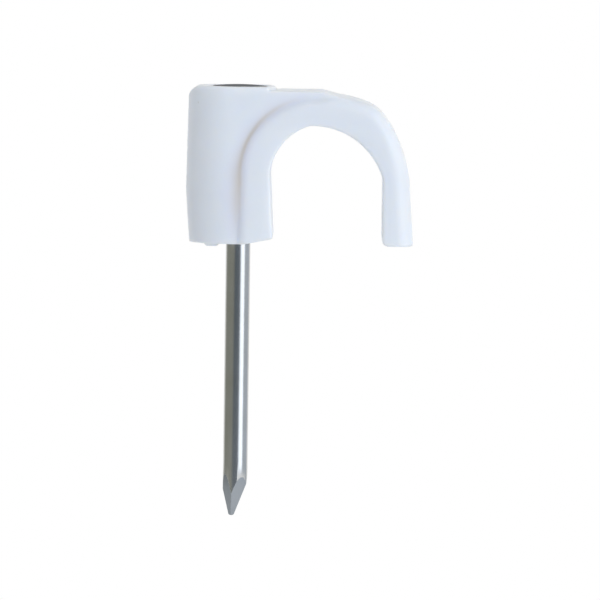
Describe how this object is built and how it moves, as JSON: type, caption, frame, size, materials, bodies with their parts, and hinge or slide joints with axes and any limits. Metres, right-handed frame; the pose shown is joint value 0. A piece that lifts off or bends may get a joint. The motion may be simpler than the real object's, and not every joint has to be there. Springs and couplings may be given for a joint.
{
  "type": "nail-in cable clip",
  "caption": "White moulded cable clip with a hook-shaped strap, a solid boss and a zinc-plated masonry nail driven through the boss.",
  "frame": {"origin": "where the nail's axis meets the wall, in the plane of the clip's base", "axes": "+Z leaves the wall along the nail towards its head, +X runs from the boss to the free leg, Y runs along the cable"},
  "size_m": [0.0185, 0.0078, 0.0352],
  "materials": {
    "clip_plastic": "satin white polyethylene, slightly translucent",
    "nail_steel": "bright zinc plating"
  },
  "bodies": {
    "root": {"clip_body": "clip_plastic", "nail": "nail_steel"}
  },
  "joints": []
}
